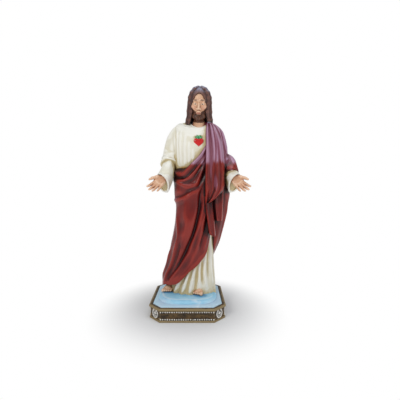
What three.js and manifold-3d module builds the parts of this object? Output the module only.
// A painted plaster figure of a robed, bearded man with open hands, cast in one with its blue ground,
// and the separate eight-sided plinth that it stands on.
// Millimetres, +Z up. The figure faces -Y. The origin is the middle of the plinth's underside.

import * as THREE from 'three';
import { mergeVertices } from 'three/addons/utils/BufferGeometryUtils.js';
import Module from 'manifold-3d';

const wasm = await Module();
wasm.setup();

// Driving dimensions

const PLINTH = { width: 190, height: 33, chamfer: 29, lip: 4, rim: 9, recess: 4 };
const GROUND = { clearance: 0.4, edge: 35, mound: 11.5, margin: 18 };
const MIDLINE = 28;
const FACES = 8300; // how many triangles the figure may have

// The head is shaped upright about its own centre, with the eye line at zero, then posed.
const HEAD = { centre: [31, -9, 553], chin: -39, bow: 22, turn: -4, lean: 3, hairTop: 42.5 };
const LOCKS = { perSide: 8, thick: 5.6, fall: 484 };

const NECK = { radius: 15.5, base: 21, dip: 27, sharp: 2.2 };
const HAND = { palm: 29, width: 26, fingers: [25, 28, 26.5, 21], thick: 3.7 };
const ARM = { shoulder: [-24, 4, 476], elbow: [-50, 8, 396], wrist: [-59, -46, 350] };
const CUFF = { low: 303, top: 359, half: 20, outward: 7 };
const EDGE = { thick: 9, slope: 1.1 }; // a hanging end is thin at its hem and deepens above it
const HEART = { width: 26, height: 25, depth: 4, centre: [28, 438] };

// Reaches of the cloth: a height, then how far it goes left, right, front and back.

const ROBE = [
  [38, -49, 74, -40, 41], [60, -44, 72, -35, 39], [120, -34, 69, -31, 36], [200, -22, 68, -33, 36],
  [280, -20, 70, -36, 36], [340, -28, 74, -38, 34], [368, -33, 76, -34, 31], [377, -35, 78, -38, 32],
  [400, -38, 84, -43, 35], [430, -42, 90, -45, 36], [455, -43, 91, -41, 34], [472, -41, 88, -34, 31],
  [484, -39, 82, -27, 28], [493, -34, 75, -22, 25], [499, -26, 66, -18, 22], [504, -6, 55, -14, 19],
  [508, 8, 50, -11, 17],
];
const WRAP = [
  [56, -72, 71, -38, 46], [90, -66, 70, -39, 43], [122, -56, 70, -41, 41], [172, -47, 71, -46, 40],
  [205, -40, 72, -49, 41], [238, -35, 73, -51, 42], [279, -33, 76, -49, 42], [303, -37, 78, -50, 42],
  [330, -38, 80, -50, 40], [358, -41, 82, -47, 38], [400, -43, 88, -49, 39], [440, -46, 93, -47, 39],
  [475, -40, 90, -34, 33],
];
// The cloth from the left shoulder over the arm, which falls behind the hand to a point.
const ARM_CLOTH = [
  [134, 63, 68, 4, 30], [155, 62, 75, -6, 36], [181, 58, 84, -13, 39], [206, 54, 91, -18, 41],
  [232, 50, 98, -23, 41], [256, 48, 104, -27, 40], [280, 46, 109, -31, 38], [302, 50, 113, -34, 36],
  [325, 54, 114, -36, 32], [350, 52, 115, -39, 31], [372, 50, 117, -42, 31], [395, 46, 115, -43, 32],
  [420, 43, 106, -41, 32], [452, 42, 99, -36, 31], [475, 40, 92, -29, 28], [487, 39, 85, -22, 25],
  [495, 40, 77, -16, 20], [500, 42, 68, -11, 16], [504, 44, 58, -6, 12],
];

// The wrap's hem and upper edge: a bearing in degrees, 0 to the front and 90 to +X, and a height.

const HEM = [
  [-180, 64], [-145, 60], [-98, 60], [-50, 67], [-34, 69], [-24, 73], [-12, 87], [-1, 104],
  [16, 121], [26, 134], [38, 150], [43, 164], [48, 190], [54, 250], [100, 250], [118, 190],
  [132, 110], [152, 78], [180, 64],
];
const UPPER_EDGE = [
  [-180, 428], [-150, 400], [-120, 378], [-97, 368], [-72, 367], [-59, 365], [-46, 360], [-32, 363],
  [-23, 371], [-11, 384], [0, 396], [10, 411], [20, 432], [40, 452], [65, 462], [100, 466],
  [140, 458], [180, 428],
];

// Folds: a run of [bearing, height] points, the rise, and the width to the left and right of the run.

const WRAP_FOLDS = [
  { path: [[-100, 363], [-59, 361], [-32, 359], [-11, 379], [10, 406], [26, 434]], rise: 3.2, width: [5, 4] },
  { path: [[-80, 352], [-43, 348], [-26, 349], [-10, 364], [4, 383], [20, 408]], rise: -5, width: [5, 4] },
  { path: [[-97, 344], [-54, 340], [-33, 342], [-16, 351], [-2, 364], [8, 380], [22, 404]], rise: 3, width: [6, 5] },
  { path: [[-30, 335], [-12, 340], [-2, 350], [8, 368], [20, 392]], rise: -3.5, width: [4, 4] },
  { path: [[-63, 338], [-42, 333], [-24, 327], [-7, 327], [0, 331], [5, 341], [12, 358], [22, 380]], rise: 4.5, width: [4, 7] },
  { path: [[-66, 298], [-34, 302], [-11, 315], [4, 323], [11, 334], [19, 350], [26, 372]], rise: -5.5, width: [8, 5] },
  { path: [[-100, 290], [-70, 291], [-52, 293], [-30, 300], [-16, 309], [2, 320]], rise: 5, width: [5, 8] },
  { path: [[-15, 309], [-25, 281], [-27, 255], [-23, 228], [-27, 200], [-36, 168]], rise: 6.5, width: [15, 13] },
  { path: [[-68, 250], [-57, 226], [-46, 197], [-52, 150]], rise: 2.5, width: [7, 6] },
  { path: [[19, 330], [12, 302], [9, 266], [4, 234], [-3, 200], [-11, 174], [-23, 141], [-37, 109], [-50, 84]], rise: -6.5, width: [6, 6] },
  { path: [[24, 305], [20, 284], [16, 256], [9, 222], [0, 188], [-7, 157], [-19, 132], [-33, 102], [-46, 78]], rise: 4, width: [5, 4] },
  { path: [[31, 300], [28, 281], [26, 256], [20, 230], [17, 200], [13, 174], [5, 148], [-4, 122], [-17, 98]], rise: 5, width: [9, 7] },
  { path: [[40, 282], [38, 245], [30, 215], [23, 188], [18, 160]], rise: -4, width: [4, 5] },
  { path: [[46, 240], [40, 208], [34, 180], [28, 156]], rise: 3, width: [5, 5] },
  { path: [[-32, 190], [-37, 163], [-43, 134], [-50, 104], [-57, 78]], rise: -4.5, width: [7, 6] },
  { path: [[-44, 180], [-51, 140], [-60, 100], [-70, 66]], rise: 4, width: [6, 6] },
  { path: [[-75, 160], [-82, 115], [-90, 70]], rise: 4.5, width: [8, 7] },
  { path: [[-178, 412], [-140, 380], [-105, 352]], rise: 4, width: [5, 8] },
  { path: [[172, 392], [-155, 345], [-118, 312], [-100, 300]], rise: 5, width: [5, 9] },
  { path: [[150, 380], [175, 320], [-150, 275], [-115, 250]], rise: 5, width: [6, 9] },
  { path: [[135, 340], [155, 270], [-175, 215], [-140, 165]], rise: 5, width: [7, 8] },
  { path: [[130, 250], [145, 180], [170, 110], [178, 70]], rise: 5, width: [7, 7] },
  { path: [[-120, 225], [-130, 150], [-135, 66]], rise: 5, width: [7, 7] },
  { path: [[-152, 185], [-160, 120], [-160, 66]], rise: 4, width: [6, 6] },
];
const ARM_FOLDS = [
  { path: [[80, 492], [74, 450], [70, 418]], rise: 3.5, width: [6, 5] },
  { path: [[56, 480], [52, 440], [50, 405]], rise: -3, width: [5, 5] },
  { path: [[98, 488], [92, 450], [86, 415]], rise: -3, width: [5, 5] },
  { path: [[120, 485], [118, 440], [104, 392]], rise: 3.5, width: [6, 6] },
  { path: [[150, 470], [155, 400], [150, 330], [144, 240], [135, 160]], rise: 4, width: [7, 7] },
  { path: [[45, 404], [68, 408], [95, 398], [120, 392]], rise: -4, width: [5, 3] },
  { path: [[110, 360], [112, 300], [106, 220], [106, 150]], rise: 3.5, width: [6, 7] },
  { path: [[60, 290], [68, 220], [80, 140]], rise: 4, width: [4, 6] },
];
const CHEST_FOLDS = [
  { path: [[-72, 490], [-58, 450], [-62, 416], [-68, 384]], rise: -3.5, width: [5, 6] },
  { path: [[-52, 478], [-51, 430], [-54, 386]], rise: 3, width: [5, 5] },
  { path: [[-40, 470], [-41, 425], [-43, 384]], rise: 2.6, width: [4, 4] },
  { path: [[-27, 455], [-30, 414], [-30, 380]], rise: 2.6, width: [4, 4] },
  { path: [[-18, 440], [-19, 407], [-17, 382]], rise: 2.2, width: [3.5, 3.5] },
  { path: [[-10, 424], [-9, 404], [-7, 388]], rise: 1.8, width: [3, 3] },
  { path: [[-70, 369], [-43, 372], [-18, 371]], rise: -2.5, width: [4, 3] },
  { path: [[-150, 380], [-150, 420], [-160, 475]], rise: 3, width: [6, 6] },
  { path: [[-115, 380], [-112, 420], [-105, 472]], rise: 3, width: [6, 6] },
];
const SKIRT_FOLDS = [
  { path: [[56, 190], [58, 135], [63, 87], [66, 60]], rise: 3.5, width: [4, 5] },
  { path: [[46, 175], [44, 125], [45, 80]], rise: -4.5, width: [5, 6] },
  { path: [[35, 150], [31, 114], [33, 88], [38, 60]], rise: 4, width: [4, 5] },
  { path: [[24, 135], [22, 103], [25, 70]], rise: -3.5, width: [4, 4] },
  { path: [[16, 128], [15, 98], [17, 60]], rise: 4, width: [4, 4] },
  { path: [[9, 115], [7, 85], [5, 56], [4, 40]], rise: -4.5, width: [4, 4] },
  { path: [[1, 115], [-5, 76], [-9, 38]], rise: 4.5, width: [4, 5] },
  { path: [[-7, 105], [-14, 74], [-20, 38]], rise: -4, width: [4, 4] },
  { path: [[-16, 98], [-24, 68], [-30, 38]], rise: 4.5, width: [5, 5] },
  { path: [[-27, 86], [-36, 62], [-41, 38]], rise: -4, width: [4, 4] },
  { path: [[-40, 80], [-50, 58], [-56, 38]], rise: 4, width: [6, 6] },
];
const SKIRT = { pleats: 15, rise: 4, from: 215, frontEnds: 72 }; // the pleats run round the back

// Hanging ends of the wrap. Each row is a height, the left and right edge, and the front of the cloth.

const SHOULDER_PANEL = {
  rows: [
    [284, 46, 57, -60], [290, 46, 66, -61], [300, 45, 78, -61], [318, 45, 91, -60], [350, 45, 95, -57],
    [400, 46, 94, -54], [435, 46, 90, -49], [460, 46, 84, -42], [478, 47, 78, -33], [492, 49, 71, -20],
    [503, 50, 64, -4],
  ],
  back: 6,
  fallAway: [6, 17],
  ridges: [
    { at: [0.07, 0.1], rise: 2.6, wide: 0.08 }, { at: [0.26, 0.3], rise: -2.6, wide: 0.08 },
    { at: [0.62, 0.45], rise: 3.6, wide: 0.11 }, { at: [0.42, 0.62], rise: -2, wide: 0.06 },
    { at: [0.86, 0.8], rise: 2.6, wide: 0.08 },
  ],
};
const MIDDLE_TAIL = {
  rows: [[238, 70, 88, -47], [243, 69, 89, -48], [280, 64, 91, -49], [320, 60, 92, -49]],
  back: 10,
  fallAway: [3, 3],
  ridges: [{ at: [0.3, 0.3], rise: 3, wide: 0.14 }, { at: [0.85, 0.85], rise: 2.5, wide: 0.1 }],
};
const FRONT_TAIL = {
  rows: [[198, 64, 70, -51], [204, 56, 71, -54], [216, 53, 70, -55], [250, 48, 67, -55], [300, 43, 63, -54]],
  back: 20,
  fallAway: [2, 4],
  ridges: [{ at: [0.8, 0.85], rise: 3, wide: 0.12 }, { at: [0.25, 0.2], rise: 1.8, wide: 0.15 }],
};

// Small helpers

const { degToRad: radians, lerp, clamp, smoothstep } = THREE.MathUtils;
const vector = (p) => new THREE.Vector3(...p);

// A smooth curve through rows of numbers, keyed by their first column.
function through(rows) {
  const slope = (k, c) => {
    const a = rows[Math.max(k - 1, 0)];
    const b = rows[Math.min(k + 1, rows.length - 1)];
    return (b[c] - a[c]) / (b[0] - a[0]);
  };
  return (key) => {
    const x = clamp(key, rows[0][0], rows[rows.length - 1][0]);
    let k = 0;
    while (k < rows.length - 2 && x > rows[k + 1][0]) k++;
    const step = rows[k + 1][0] - rows[k][0];
    const t = (x - rows[k][0]) / step;
    const [t2, t3] = [t * t, t * t * t];
    return rows[k].slice(1).map((_, i) => {
      const c = i + 1;
      return (2 * t3 - 3 * t2 + 1) * rows[k][c] + (t3 - 2 * t2 + t) * step * slope(k, c)
        + (3 * t2 - 2 * t3) * rows[k + 1][c] + (t3 - t2) * step * slope(k + 1, c);
    });
  };
}

// How far a set of folds lifts the cloth at a bearing and a height.
function liftOf(folds, girth = 58) {
  const turn = 2 * Math.PI * girth;
  const runs = folds.map(({ path, rise, width }) => {
    const flat = [];
    path.forEach(([bearing, z], k) => {
      let x = radians(bearing) * girth;
      if (k) x += turn * Math.round((flat[k - 1].x - x) / turn);
      flat.push(new THREE.Vector3(x, z, 0));
    });
    return { points: new THREE.CatmullRomCurve3(flat).getPoints(24), rise, width };
  });
  return (bearing, z) => {
    let lift = 0;
    for (const { points, rise, width } of runs) {
      let nearest = Infinity;
      let side = 0;
      let along = 0;
      for (let k = 0; k + 1 < points.length; k++) {
        const a = points[k];
        const dx = points[k + 1].x - a.x;
        const dz = points[k + 1].y - a.y;
        let px = radians(bearing) * girth - a.x;
        px -= turn * Math.round(px / turn);
        const pz = z - a.y;
        const t = clamp((px * dx + pz * dz) / (dx * dx + dz * dz), 0, 1);
        const away = (px - t * dx) ** 2 + (pz - t * dz) ** 2;
        if (away < nearest) {
          nearest = away;
          side = px * dz - pz * dx;
          along = (k + t) / (points.length - 1);
        }
      }
      const w = width[side > 0 ? 1 : 0];
      const fade = smoothstep(along, -0.12, 0.25) * smoothstep(1 - along, -0.12, 0.25);
      lift += rise * fade * Math.exp(-((Math.sqrt(nearest) / w) ** 1.7));
    }
    return lift;
  };
}

// A closed solid through rings of points, with a fan over each end.
function loft(slices, stacks, pointAt) {
  const positions = [];
  for (let j = 0; j <= stacks; j++) {
    for (let i = 0; i < slices; i++) positions.push(...pointAt(i / slices, j / stacks));
  }
  for (const j of [0, stacks]) {
    const middle = [0, 0, 0];
    for (let i = 0; i < slices; i++) {
      for (let c = 0; c < 3; c++) middle[c] += positions[3 * (j * slices + i) + c] / slices;
    }
    positions.push(...middle);
  }
  const index = [];
  const low = (stacks + 1) * slices;
  for (let i = 0; i < slices; i++) {
    const n = (i + 1) % slices;
    for (let j = 0; j < stacks; j++) {
      const [a, b, c, d] = [j * slices + i, j * slices + n, (j + 1) * slices + n, (j + 1) * slices + i];
      index.push(a, b, c, a, c, d);
    }
    index.push(low, n, i, low + 1, stacks * slices + i, stacks * slices + n);
  }
  return solidOf(new THREE.BufferGeometry()
    .setAttribute('position', new THREE.Float32BufferAttribute(positions, 3))
    .setIndex(index));
}

// A manifold solid of a closed geometry, turned face-out.
function solidOf(geometry) {
  const bare = new THREE.BufferGeometry().setAttribute('position', geometry.getAttribute('position').clone());
  if (geometry.index) bare.setIndex(geometry.index.clone());
  const merged = mergeVertices(bare, 1e-4);
  const corners = merged.index.array;
  const point = (k) => new THREE.Vector3().fromBufferAttribute(merged.attributes.position, k);
  const kept = [];
  let volume = 0;
  for (let k = 0; k < corners.length; k += 3) {
    const [a, b, c] = [corners[k], corners[k + 1], corners[k + 2]];
    if (a === b || b === c || c === a) continue;
    volume += point(a).dot(point(b).cross(point(c)));
    kept.push(a, b, c);
  }
  if (volume < 0) kept.reverse();
  return new wasm.Manifold(new wasm.Mesh({
    numProp: 3, vertProperties: merged.attributes.position.array, triVerts: new Uint32Array(kept),
  }));
}

// Solids joined into one, with any sealed pocket between them filled.
function joined(solids) {
  const whole = solids.reduce((sum, next) => sum.add(next));
  return whole.decompose().filter((body) => body.volume() > 0).reduce((sum, next) => sum.add(next));
}

// Distance fields for the rounded parts

const ball = (p, c, r) => {
  const q = [(p[0] - c[0]) / r[0], (p[1] - c[1]) / r[1], (p[2] - c[2]) / r[2]];
  const k0 = Math.hypot(...q);
  const k1 = Math.hypot(q[0] / r[0], q[1] / r[1], q[2] / r[2]);
  return k1 ? k0 * (k0 - 1) / k1 : -Math.min(...r);
};
const rod = (p, a, b, ra, rb) => {
  const d = [b[0] - a[0], b[1] - a[1], b[2] - a[2]];
  const q = [p[0] - a[0], p[1] - a[1], p[2] - a[2]];
  const t = clamp((q[0] * d[0] + q[1] * d[1] + q[2] * d[2]) / (d[0] ** 2 + d[1] ** 2 + d[2] ** 2), 0, 1);
  return Math.hypot(q[0] - t * d[0], q[1] - t * d[1], q[2] - t * d[2]) - lerp(ra, rb, t);
};
const blend = (a, b, k) => {
  const h = Math.max(k - Math.abs(a - b), 0) / k;
  return Math.min(a, b) - h * h * k / 4;
};
const carve = (a, b, k) => -blend(-a, b, k);

// The surface of a field, found in small boxes that are each cut into six.
function surfaceOf(field, low, high, step) {
  const n = low.map((l, c) => Math.ceil((high[c] - l) / step) + 1);
  const stride = [1, n[0], n[0] * n[1]];
  const value = new Float32Array(n[0] * n[1] * n[2]);
  const place = (k) => [k % n[0], Math.floor(k / n[0]) % n[1], Math.floor(k / stride[2])]
    .map((i, c) => low[c] + i * step);
  const onWall = (k) => [k % n[0], Math.floor(k / n[0]) % n[1], Math.floor(k / stride[2])]
    .some((i, c) => !i || i === n[c] - 1);
  for (let k = 0; k < value.length; k++) value[k] = onWall(k) ? step : field(place(k));
  const routes = [[0, 1, 2], [1, 2, 0], [2, 0, 1], [0, 2, 1], [2, 1, 0], [1, 0, 2]];
  const positions = [];
  const index = [];
  const made = new Map();
  const crossing = (a, b) => {
    const key = Math.min(a, b) * value.length + Math.max(a, b);
    if (!made.has(key)) {
      const t = clamp(value[a] / (value[a] - value[b]), 0.03, 0.97);
      const [p, q] = [place(a), place(b)];
      made.set(key, positions.length / 3);
      positions.push(...p.map((x, c) => lerp(x, q[c], t)));
    }
    return made.get(key);
  };
  for (let z = 0; z + 1 < n[2]; z++) {
    for (let y = 0; y + 1 < n[1]; y++) {
      for (let x = 0; x + 1 < n[0]; x++) {
        const k = x + y * stride[1] + z * stride[2];
        let inside = 0;
        for (let c = 0; c < 8; c++) inside += value[k + (c & 1) + (c >> 1 & 1) * stride[1] + (c >> 2) * stride[2]] < 0;
        if (!inside || inside === 8) continue;
        routes.forEach((route, turn) => {
          const four = [k];
          for (const axis of route) four.push(four.at(-1) + stride[axis]);
          const inner = [0, 1, 2, 3].filter((c) => value[four[c]] < 0);
          if (!inner.length || inner.length === 4) return;
          const outer = [0, 1, 2, 3].filter((c) => value[four[c]] >= 0);
          const at = (a, b) => crossing(four[a], four[b]);
          let ring = inner.length === 2
            ? [at(inner[0], outer[0]), at(inner[0], outer[1]), at(inner[1], outer[1]), at(inner[1], outer[0])]
            : inner.length === 1 ? outer.map((o) => at(inner[0], o)) : inner.map((i) => at(i, outer[0]));
          const order = [...inner, ...outer];
          let swaps = turn > 2 ? 1 : 0;
          for (let a = 0; a < 4; a++) for (let b = a + 1; b < 4; b++) swaps += order[a] > order[b];
          if (swaps % 2) ring = ring.reverse();
          for (let c = 1; c + 1 < ring.length; c++) index.push(ring[0], ring[c], ring[c + 1]);
        });
      }
    }
  }
  return solidOf(new THREE.BufferGeometry()
    .setAttribute('position', new THREE.Float32BufferAttribute(positions, 3)).setIndex(index));
}

// Thins a closed mesh to a number of faces. It merges the edge that changes the shape least each time.
function thinned(solid, target, careAt) {
  const mesh = solid.getMesh();
  const at = Array.from({ length: mesh.numVert }, (_, k) => [...mesh.vertProperties.slice(3 * k, 3 * k + 3)]);
  const faces = [];
  for (let k = 0; k < mesh.triVerts.length; k += 3) faces.push([...mesh.triVerts.slice(k, k + 3)]);
  const round = at.map(() => new Set());
  faces.forEach((face, k) => face.forEach((v) => round[v].add(k)));
  const cross = (a, b, c) => {
    const [ux, uy, uz] = [b[0] - a[0], b[1] - a[1], b[2] - a[2]];
    const [vx, vy, vz] = [c[0] - a[0], c[1] - a[1], c[2] - a[2]];
    return [uy * vz - uz * vy, uz * vx - ux * vz, ux * vy - uy * vx];
  };
  const shape = at.map(() => new Float64Array(10));
  for (const face of faces) {
    const [a, b, c] = face.map((v) => at[v]);
    const n = cross(a, b, c);
    const size = Math.hypot(...n);
    if (size < 1e-9) continue;
    const [x, y, z] = n.map((e) => e / size);
    const w = -(x * a[0] + y * a[1] + z * a[2]);
    const care = size * careAt(a);
    [x * x, x * y, x * z, x * w, y * y, y * z, y * w, z * z, z * w, w * w]
      .forEach((e, k) => face.forEach((v) => { shape[v][k] += e * care; }));
  }
  const error = (q, [x, y, z]) => q[0] * x * x + 2 * q[1] * x * y + 2 * q[2] * x * z + 2 * q[3] * x
    + q[4] * y * y + 2 * q[5] * y * z + 2 * q[6] * y + q[7] * z * z + 2 * q[8] * z + q[9];
  const best = (u, v) => {
    const q = shape[u].map((e, k) => e + shape[v][k]);
    const mid = at[u].map((e, c) => (e + at[v][c]) / 2);
    const m = new THREE.Matrix3().set(q[0], q[1], q[2], q[1], q[4], q[5], q[2], q[5], q[7]);
    const trace = q[0] + q[4] + q[7];
    const options = [mid, at[u], at[v]];
    if (Math.abs(m.determinant()) > 1e-5 * trace ** 3) {
      const p = new THREE.Vector3(-q[3], -q[6], -q[8]).applyMatrix3(m.invert());
      if (p.distanceTo(vector(mid)) < 2 * Math.hypot(...at[u].map((e, c) => e - at[v][c]))) options.unshift(p.toArray());
    }
    let [place, least] = [options[0], Infinity];
    for (const option of options) {
      const e = error(q, option);
      if (e < least) [place, least] = [option, e];
    }
    const reach = at[u].reduce((sum, e, c) => sum + (e - at[v][c]) ** 2, 0);
    return { u, v, place, cost: least + 1e-4 * reach * trace / 20, ages: [age[u], age[v]] };
  };
  const age = new Uint32Array(at.length);
  const heap = [];
  const push = (item) => {
    let k = heap.push(item) - 1;
    while (k && heap[(k - 1) >> 1].cost > item.cost) {
      heap[k] = heap[(k - 1) >> 1];
      k = (k - 1) >> 1;
    }
    heap[k] = item;
  };
  const pop = () => {
    const top = heap[0];
    const last = heap.pop();
    if (!heap.length) return top;
    let k = 0;
    for (;;) {
      let child = 2 * k + 1;
      if (child >= heap.length) break;
      if (child + 1 < heap.length && heap[child + 1].cost < heap[child].cost) child += 1;
      if (heap[child].cost >= last.cost) break;
      heap[k] = heap[child];
      k = child;
    }
    heap[k] = last;
    return top;
  };
  const ring = (v) => {
    const found = new Set();
    for (const f of round[v]) for (const w of faces[f]) if (w !== v) found.add(w);
    return found;
  };
  const seen = new Set();
  faces.forEach((face) => face.forEach((v, c) => {
    const w = face[(c + 1) % 3];
    if (v < w && !seen.has(v * at.length + w)) {
      seen.add(v * at.length + w);
      push(best(v, w));
    }
  }));
  let left = faces.length;
  while (left > target && heap.length) {
    const { u, v, place, ages } = pop();
    if (ages[0] !== age[u] || ages[1] !== age[v] || !round[u].size || !round[v].size) continue;
    const [ringU, ringV] = [ring(u), ring(v)];
    if (!ringU.has(v)) continue;
    let shared = 0;
    for (const w of ringU) if (ringV.has(w)) shared += 1;
    if (shared !== 2) continue;
    let sound = true;
    for (const [mine, other] of [[u, v], [v, u]]) {
      for (const f of round[mine]) {
        if (faces[f].includes(other)) continue;
        const before = cross(...faces[f].map((w) => at[w]));
        const after = cross(...faces[f].map((w) => (w === mine ? place : at[w])));
        const [sb, sa] = [Math.hypot(...before), Math.hypot(...after)];
        const agree = before[0] * after[0] + before[1] * after[1] + before[2] * after[2];
        if (sa < 0.02 || agree < 0.35 * sb * sa) sound = false;
      }
    }
    if (!sound) continue;
    for (const f of [...round[v]]) {
      if (faces[f].includes(u)) {
        for (const w of faces[f]) round[w].delete(f);
        faces[f] = null;
        left -= 1;
      } else {
        faces[f] = faces[f].map((w) => (w === v ? u : w));
        round[u].add(f);
      }
    }
    round[v].clear();
    at[u] = place;
    shape[v].forEach((e, k) => { shape[u][k] += e; });
    age[u] += 1;
    for (const w of ring(u)) push(best(u, w));
  }
  const index = faces.filter(Boolean).flat();
  return solidOf(new THREE.BufferGeometry()
    .setAttribute('position', new THREE.Float32BufferAttribute(at.flat(), 3)).setIndex(index));
}

// Cloth

// Cloth round the body: an oval section from a table of reaches, lifted by folds.
function clothPoint(reaches, bearing, z, lift) {
  const [left, right, front, back] = reaches(z);
  const a = radians(bearing);
  const across = (right - left) / 2;
  const deep = (back - front) / 2;
  const out = new THREE.Vector2(Math.sin(a) / across, -Math.cos(a) / deep).normalize();
  return [
    (left + right) / 2 + across * Math.sin(a) + out.x * lift,
    (front + back) / 2 - deep * Math.cos(a) + out.y * lift,
    z,
  ];
}

// Cloth between two heights that may change with the bearing, thinner at both edges.
function drape(rows, slices, stacks, lowAt, highAt, lift) {
  const reaches = through(rows);
  return loft(slices, stacks, (u, v) => {
    const bearing = 360 * u - 180;
    const z = lerp(lowAt(bearing), highAt(bearing), v);
    return clothPoint(reaches, bearing, z, lift(bearing, z));
  });
}

function robe() {
  const chest = liftOf(CHEST_FOLDS);
  const skirt = liftOf(SKIRT_FOLDS);
  const lift = (bearing, z) => {
    const low = smoothstep(SKIRT.from - z, 0, 150);
    const a = radians(bearing);
    const behind = smoothstep(Math.abs(bearing - 8), SKIRT.frontEnds - 25, SKIRT.frontEnds);
    const pleat = Math.cos(SKIRT.pleats * a + 1.2 * Math.sin(3 * a)) * (0.65 + 0.35 * Math.cos(4 * a + 0.7));
    return chest(bearing, z) + skirt(bearing, z) + SKIRT.rise * low * pleat * behind;
  };
  const collar = (bearing) => ROBE.at(-1)[0] - NECK.dip * (0.5 + 0.5 * Math.cos(radians(bearing))) ** NECK.sharp;
  return drape(ROBE, 170, 76, () => ROBE[0][0], collar, lift);
}

function wrap() {
  const hem = through(HEM);
  const edge = through(UPPER_EDGE);
  return drape(WRAP, 170, 84, (b) => hem(b)[0], (b) => edge(b)[0], liftOf(WRAP_FOLDS));
}

function armCloth() {
  return drape(ARM_CLOTH, 80, 90, () => ARM_CLOTH[0][0], () => ARM_CLOTH.at(-1)[0], liftOf(ARM_FOLDS, 38));
}

// A hanging panel: a ridged front face, straight sides, and a back inside the body.
// Its right side falls away by an amount given for its bottom and its top.
function panel({ rows, back, ridges, fallAway }) {
  const reaches = through(rows);
  const low = rows[0][0];
  const high = rows.at(-1)[0];
  const share = 0.85;
  return loft(72, 40, (u, v) => {
    const z = lerp(low, high, v);
    const [left, right, front] = reaches(z);
    if (u < share) {
      const across = u / share;
      let lift = 0;
      for (const { at, rise, wide } of ridges) {
        lift += rise * Math.exp(-(((across - lerp(at[0], at[1], v)) / wide) ** 2));
      }
      const round = 3 * (1 - (2 * across - 1) ** 6);
      const away = lerp(fallAway[0], fallAway[1], v) * smoothstep(across, 0.6, 1.15) ** 1.5;
      return [lerp(left, right, across), front + 3 - lift - round + away, z];
    }
    const across = 1 - (u - share) / (1 - share);
    const behind = Math.min(back, front + EDGE.thick + EDGE.slope * (z - low));
    return [lerp(left + 1, right - 1, across), behind, z];
  });
}

// A tube through places that each have a centre, two half-widths and a narrowing towards its lower side.
function limb(stops, slices, stacks, wave = () => 0) {
  const path = new THREE.CatmullRomCurve3(stops.map((s) => vector(s.at)));
  const sizes = through(stops.map((s, k) => [k / (stops.length - 1), ...s.size, s.narrow ?? 0]));
  const up = new THREE.Vector3(0, 0, 1);
  return loft(slices, stacks, (u, v) => {
    const ahead = path.getTangent(v);
    const side = new THREE.Vector3().crossVectors(ahead, up).normalize();
    const over = new THREE.Vector3().crossVectors(side, ahead);
    const [wide, tall, narrow] = sizes(v);
    const a = 2 * Math.PI * u;
    const w = 1 + wave(u, v);
    return path.getPoint(v)
      .addScaledVector(side, wide * Math.cos(a) * w * (1 + narrow * Math.sin(a)))
      .addScaledVector(over, tall * Math.sin(a) * w)
      .toArray();
  });
}

// The right sleeve: a short outer sleeve to the elbow, and under it one that opens in a hanging cuff.
function sleeve() {
  const [s, e, w] = [ARM.shoulder, ARM.elbow, ARM.wrist];
  const mix = (a, b, t, dz = 0) => [lerp(a[0], b[0], t), lerp(a[1], b[1], t), lerp(a[2], b[2], t) + dz];
  const crease = (u, v) => 0.045 * Math.sin(2 * Math.PI * (3 * u + 1.3 * v)) + 0.03 * Math.sin(2 * Math.PI * (5 * u - v));
  const upper = limb([
    { at: mix(s, e, -0.16, 4), size: [6, 8] },
    { at: mix(s, e, -0.02, 4), size: [15, 19] },
    { at: mix(s, e, 0.3, 2), size: [22, 26] },
    { at: mix(s, e, 0.72), size: [25, 26] },
    { at: mix(e, w, 0.06, 3), size: [24, 22] },
    { at: mix(e, w, 0.27, 4), size: [21.5, 21] },
  ], 60, 24, crease);
  const drop = (CUFF.top - CUFF.low) / 2;
  const cuff = (t, dz, size, narrow) => {
    const [x, y] = mix(e, w, t);
    return { at: [x - CUFF.outward * t ** 3, y, (CUFF.top + CUFF.low) / 2 + dz], size, narrow };
  };
  const lower = limb([
    { at: mix(e, w, 0), size: [18, 18] },
    { at: mix(e, w, 0.35, -3), size: [17.5, 19], narrow: 0.05 },
    cuff(0.68, 15, [CUFF.half - 1.5, drop * 0.9], 0.15),
    cuff(0.98, 0, [CUFF.half, drop], 0.34),
  ], 60, 30, crease);
  const hollow = limb([
    cuff(0.82, 2, [CUFF.half - 8, drop * 0.7], 0.25),
    cuff(0.93, 0, [CUFF.half - 5, drop * 0.84], 0.3),
    cuff(1.2, -3, [CUFF.half - 1, drop * 1.02], 0.34),
  ], 30, 8);
  const covered = limb([
    { at: mix(e, w, -0.34, -6), size: [6, 8] },
    { at: mix(e, w, -0.14, -1), size: [19, 20] },
    { at: mix(e, w, 0.25, 1), size: [22, 24] },
    { at: mix(e, w, 0.55, -2), size: [21, 23] },
    { at: mix(e, w, 0.72, -5), size: [19, 21] },
  ], 50, 20, crease);
  return { upper, lower, hollow, covered };
}

// The rounded parts

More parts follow.
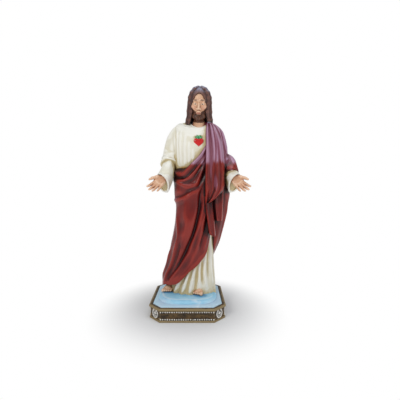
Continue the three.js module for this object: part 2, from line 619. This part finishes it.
// The right hand: fingers down and out, palm forward and up, thumb above. `along`, `across`, `out`.
function hand() {
  const reach = vector([-0.56, -0.5, -0.66]).normalize();
  const palm = vector([0.22, -0.85, 0.5]);
  palm.addScaledVector(reach, -palm.dot(reach)).normalize();
  const thumb = new THREE.Vector3().crossVectors(reach, palm);
  const wrist = vector(ARM.wrist);
  const place = (l, c, o) => wrist.clone().addScaledVector(reach, l).addScaledVector(thumb, c)
    .addScaledVector(palm, o).toArray();
  const { palm: deep, width, fingers, thick } = HAND;
  const rods = [[place(-22, 0, -3), place(2, 0, -1), 8, 7.5, 2]];
  fingers.forEach((long, k) => {
    const row = (0.36 - 0.24 * k) * width;
    const root = deep - [1, 0, 1, 3.5][k];
    const splay = [3.6, 0.8, -1.6, -4.4][k];
    const r = thick * [1, 1.02, 0.98, 0.86][k];
    const joint = (share, out) => place(root + long * share, row + splay * share, out);
    rods.push([place(2, row * 0.55, -1.5), place(root - 2, row, -0.5), 5.6, 4.6, 4]);
    rods.push([joint(-0.05, 0), joint(0.42, -0.4), r, r * 0.95, 1.5]);
    rods.push([joint(0.42, -0.4), joint(0.74, 1.2), r * 0.95, r * 0.85, 1]);
    rods.push([joint(0.74, 1.2), joint(0.98, 4), r * 0.85, r * 0.66, 1]);
  });
  rods.push([place(5, 6, 1), place(17, 13, 4), 6.2, 5, 4]);
  rods.push([place(17, 13, 4), place(27, 18.5, 6), 4.4, 3.8, 2]);
  rods.push([place(27, 18.5, 6), place(35, 20.5, 7), 3.8, 2.6, 1]);
  const hollow = place(18, -1, 12);
  const field = (p) => {
    let d = Infinity;
    for (const [a, b, ra, rb, k] of rods) d = blend(d, rod(p, a, b, ra, rb), k);
    return carve(d, Math.hypot(p[0] - hollow[0], p[1] - hollow[1], p[2] - hollow[2]) - 9.5, 4);
  };
  const ends = rods.flatMap(([a, b]) => [a, b]);
  const low = [0, 1, 2].map((c) => Math.min(...ends.map((p) => p[c])) - 9);
  const high = [0, 1, 2].map((c) => Math.max(...ends.map((p) => p[c])) + 9);
  return surfaceOf(field, low, high, 1.6);
}

// The head with its beard, and long hair parted in the middle that falls to the shoulders.
function head() {
  const pose = new THREE.Object3D();
  pose.rotation.set(radians(HEAD.bow), radians(HEAD.lean), radians(HEAD.turn), 'ZYX');
  pose.position.set(...HEAD.centre);
  pose.updateMatrix();
  const back = pose.matrix.clone().invert();
  const world = (p) => vector(p).applyMatrix4(pose.matrix).toArray();
  const locks = [];
  for (const side of [-1, 1]) {
    for (let k = 0; k < LOCKS.perSide; k++) {
      const turn = k / (LOCKS.perSide - 1);
      const a = radians(lerp(56, 176, turn));
      const [rx, ry] = [25.5, 34.5];
      const path = [];
      for (const t of [0, 0.25, 0.5, 0.75, 1]) {
        const tip = radians(lerp(10, 96, t));
        path.push(world([
          side * (1.5 + rx * Math.sin(tip) * Math.sin(a) * lerp(0.95, 1, t)),
          4 - ry * (Math.sin(tip) * Math.cos(a) + 0.35 * Math.cos(tip) * (1 - 2 * turn) * (1 - t)),
          4 + (HEAD.hairTop - 7) * Math.cos(tip),
        ]));
      }
      const end = path.at(-1);
      const wave = (k % 2 ? 1 : -1) * 1.8;
      const flare = lerp(side < 0 ? 12 : 6, 0, turn);
      const bottom = LOCKS.fall + lerp(2, -8, turn) + (k % 3) * 3;
      for (const t of [0.33, 0.66, 1]) {
        path.push([
          end[0] + side * (flare * t * t + wave * Math.sin(6 * t)),
          lerp(end[1], lerp(-8, 22, turn), t) + wave * Math.cos(5 * t),
          lerp(end[2], bottom, t),
        ]);
      }
      path.forEach((p, j) => {
        if (!j) return;
        const size = (i) => LOCKS.thick * [0.6, 0.85, 1, 1.08, 1.1, 1.05, 0.85, 0.4][i];
        locks.push([path[j - 1], p, size(j - 1), size(j)]);
      });
    }
  }
  const neck = [world([0, 4, -24]), [29, 2, 478]];
  const nape = [world([0, 12, -8]), [30, 8, 502]];
  const field = (at) => {
    const p = vector(at).applyMatrix4(back).toArray();
    const m = [Math.abs(p[0]), p[1], p[2]];
    let d = blend(ball(p, [0, 4, 8], [26, 31, 32]), ball(p, [0, -8, -10], [21, 21, 29]), 8);
    d = blend(d, ball(p, [0, -21, -32], [8.5, 8, 7]), 6);
    d = blend(d, ball(m, [13.5, -19, -10], [7, 7, 6]), 7);
    d = blend(d, rod(m, [3, -28, 6.5], [15, -23, 6.5], 2.6, 2.4), 4);
    d = carve(d, ball(m, [9.8, -32.5, 0.5], [6.6, 6, 5]), 3);
    d = blend(d, ball(m, [9.6, -23.2, -0.3], [5.2, 4.8, 4.4]), 1);
    d = blend(d, rod(p, [0, -29, 4], [0, -36, -13], 2.2, 3.1), 3);
    d = blend(d, ball(m, [3.4, -31.5, -14], [3, 3.8, 2.8]), 2.5);
    d = blend(d, rod(m, [0.5, -30.5, -20.5], [11, -25, -27], 2.5, 2.4), 2.5);
    d = blend(d, rod(m, [0, -29.6, -27.2], [4, -28, -26.8], 2.6, 1.6), 1.5);
    d = blend(d, rod(m, [18, -8, -16], [11.5, -20, -34], 4.5, 6), 4);
    d = blend(d, rod(m, [11.5, -20, -34], [2.6, -27, -39], 6, 5.8), 3);
    d = blend(d, rod(m, [2.6, -27, -39], [2.4, -27, -46], 5.4, 3), 2);
    d = blend(d, rod(at, neck[0], neck[1], NECK.radius, NECK.base), 5);
    d = blend(d, ball(at, [29, -6, 479], [20, 19, 13]), 8);
    let hair = blend(ball(p, [0, 5, 10], [27, 33, 31.5]), rod(at, nape[0], nape[1], 20, 22), 6);
    hair = carve(hair, ball(p, [0, -34, -4], [18.5, 20, 31]), 2);
    for (const [a, b, ra, rb] of locks) hair = blend(hair, rod(at, a, b, ra, rb), 2.2);
    hair = carve(hair, rod(p, [0, -34, 34], [0, 14, 44.5], 1.5, 1.5), 2.5);
    return Math.min(d, hair);
  };
  return surfaceOf(field, [-16, -58, 474], [78, 42, 604], 1.7);
}

// A bare foot: the instep and five toes.
function foot(heel, toe, big) {
  const [h, t] = [vector(heel), vector(toe)];
  const ahead = t.clone().sub(h).normalize();
  const side = new THREE.Vector3(-ahead.y, ahead.x, 0).normalize();
  const spot = (l, c, z) => t.clone().addScaledVector(ahead, l).addScaledVector(side, c * big)
    .setZ(t.z + z).toArray();
  const rods = [[h.toArray(), spot(-8, 3, 4), 12, 7, 4], [h.toArray(), spot(-8, -5, 1), 12, 6, 4]];
  for (let k = 0; k < 5; k++) {
    const across = 9 - 4.9 * k;
    const r = [4.2, 3, 2.8, 2.6, 2.4][k];
    rods.push([spot(-9, across, 2), spot(-1 - k * 0.9, across, 0.4), r, r, 2.5]);
    rods.push([spot(-1 - k * 0.9, across, 0.4), spot(6 - 1.7 * k, across, 0), r, r * 0.9, 0.8]);
  }
  const field = (p) => rods.reduce((d, [a, b, ra, rb, k]) => blend(d, rod(p, a, b, ra, rb), k), Infinity);
  const ends = rods.flatMap(([a, b]) => [a, b]);
  const low = [0, 1, 2].map((c) => Math.min(...ends.map((p) => p[c])) - 14);
  const high = [0, 1, 2].map((c) => Math.max(...ends.map((p) => p[c])) + 14);
  return surfaceOf(field, low, high, 1.8);
}

// A heart in relief on the chest, with a tuft of leaves above it.
function heart() {
  const { width, height, depth, centre } = HEART;
  const outline = new THREE.Shape();
  outline.moveTo(0, -height / 2);
  outline.bezierCurveTo(-width * 0.2, -height * 0.28, -width / 2, -height * 0.05, -width / 2, height * 0.16);
  outline.bezierCurveTo(-width / 2, height * 0.5, -width * 0.1, height * 0.5, 0, height * 0.36);
  outline.bezierCurveTo(width * 0.1, height * 0.5, width / 2, height * 0.5, width / 2, height * 0.16);
  outline.bezierCurveTo(width / 2, -height * 0.05, width * 0.2, -height * 0.28, 0, -height / 2);
  const body = new THREE.ExtrudeGeometry(outline, {
    depth, bevelThickness: 3, bevelSize: 4, bevelOffset: -4, bevelSegments: 3, curveSegments: 7,
  });
  const leaves = [-58, -24, 24, 58].map((turn) => new THREE.SphereGeometry(1, 10, 7)
    .scale(2.8, 6, 2.6).translate(0, 5, 0).rotateZ(-radians(turn)).translate(0, height * 0.4, depth));
  return [body, ...leaves].map((g) => solidOf(
    g.rotateX(Math.PI / 2).translate(centre[0], -39, centre[1]),
  ));
}

// Ground and plinth

// A square with cut corners, as a shape centred on the origin.
function cutSquare(width, chamfer) {
  const h = width / 2;
  const c = h - chamfer;
  return new THREE.Shape([[h, -c], [h, c], [c, h], [-c, h], [-h, c], [-h, -c], [-c, -h], [c, -h]]
    .map(([x, y]) => new THREE.Vector2(x, y)));
}

// A solid of stacked cut squares: rows of [height, how far in from the full width].
function stacked(rows, width, chamfer) {
  return loft(8, rows.length - 1, (u, v) => {
    const [z, inset] = rows[Math.round(v * (rows.length - 1))];
    const ring = cutSquare(width - 2 * inset, chamfer - inset * (2 - Math.SQRT2)).getPoints();
    const corner = ring[Math.round(u * 8)];
    return [corner.x, corner.y, z];
  });
}

// The blue ground: a low slab inside the plinth's rim, and a rounded mound on it.
function ground() {
  const inset = PLINTH.rim + GROUND.clearance;
  const floor = PLINTH.height - PLINTH.recess + 0.3;
  const slab = stacked([
    [floor, inset], [GROUND.edge - 2, inset], [GROUND.edge, inset + 2.5], [GROUND.edge + 1.6, inset + 10],
  ], PLINTH.width, PLINTH.chamfer);
  const reach = PLINTH.width / 2 - GROUND.margin;
  const profile = through([[0, 1], [0.3, 0.995], [0.6, 0.965], [0.85, 0.9], [0.97, 0.8], [1, 0.55]]);
  const mound = loft(80, 16, (u, v) => {
    const a = 2 * Math.PI * u;
    const square = (Math.abs(Math.cos(a)) ** 3.2 + Math.abs(Math.sin(a)) ** 3.2) ** (-1 / 3.2);
    const r = reach * square * profile(v)[0];
    return [r * Math.cos(a), r * Math.sin(a), GROUND.edge - 1 + GROUND.mound * v];
  });
  return slab.add(mound);
}

function plinth() {
  const { width, height, chamfer, lip, rim, recess } = PLINTH;
  const body = stacked([
    [0, 1.5], [3.5, 1.5], [4.5, 3.2], [5.5, 2.4], [8.5, 2.4], [9.5, lip], [21.5, lip], [22.5, 2.6],
    [25.5, 2.6], [27, 1], [28, 0], [31.5, 0], [height, 1.2],
  ], width, chamfer);
  const hollow = solidOf(new THREE.ExtrudeGeometry(
    cutSquare(width - 2 * rim, chamfer - rim * (2 - Math.SQRT2)), { depth: 20, bevelEnabled: false },
  ).translate(0, 0, height - recess));
  const across = (width - chamfer) / Math.SQRT2 - lip;
  const ornaments = [0, 1, 2, 3].flatMap((k) => [-64, -32, 0, 32, 64].map((lean) => solidOf(
    new THREE.SphereGeometry(1, 8, 5).scale(1.7, 5.2, 1.6).translate(0, 4.5, 0).rotateZ(radians(lean))
      .rotateX(Math.PI / 2).translate(0, 0, 12).rotateZ(radians(45 + 90 * k) + Math.PI / 2)
      .translate(across * Math.cos(radians(45 + 90 * k)), across * Math.sin(radians(45 + 90 * k)), 0),
  )));
  return joined([body.subtract(hollow), ...ornaments]);
}

// The figure in one piece with its ground.
function figure() {
  const right = sleeve();
  const flip = (solid) => solid.mirror([1, 0, 0]).translate([2 * MIDLINE, 0, 0]);
  const cloth = joined([robe(), wrap(), armCloth(), panel(SHOULDER_PANEL), panel(MIDDLE_TAIL),
    panel(FRONT_TAIL), right.upper, right.lower, flip(right.lower), flip(right.covered)]);
  const rightHand = hand();
  const whole = joined([
    cloth.subtract(right.hollow).subtract(flip(right.hollow)),
    head(), rightHand, flip(rightHand), ...heart(),
    foot([-48, 6, 56], [-57, -17, 50], -1), foot([28, -16, 54], [26, -39, 50], 1), ground(),
  ]);
  const care = ([x, y, z]) => (z > 505 && y < -14 ? 5 : z > 490 || x < -62 || x > 118 ? 2 : 1);
  return thinned(whole, FACES, care);
}

const paint = (color, roughness, metalness) => new THREE.MeshStandardMaterial({ color, roughness, metalness });

// The three.js mesh of a solid.
function named(name, solid, material) {
  const { vertProperties, triVerts } = solid.getMesh();
  const mesh = new THREE.Mesh(new THREE.BufferGeometry()
    .setAttribute('position', new THREE.BufferAttribute(vertProperties, 3))
    .setIndex(new THREE.BufferAttribute(triVerts, 1)), material);
  mesh.name = name;
  return mesh;
}

const statue = new THREE.Group();
statue.add(named('figure', figure(), paint(0x7a241c, 0.4, 0)));
statue.add(named('plinth', plinth(), paint(0x4a3a1c, 0.45, 0.5)));

export default statue;
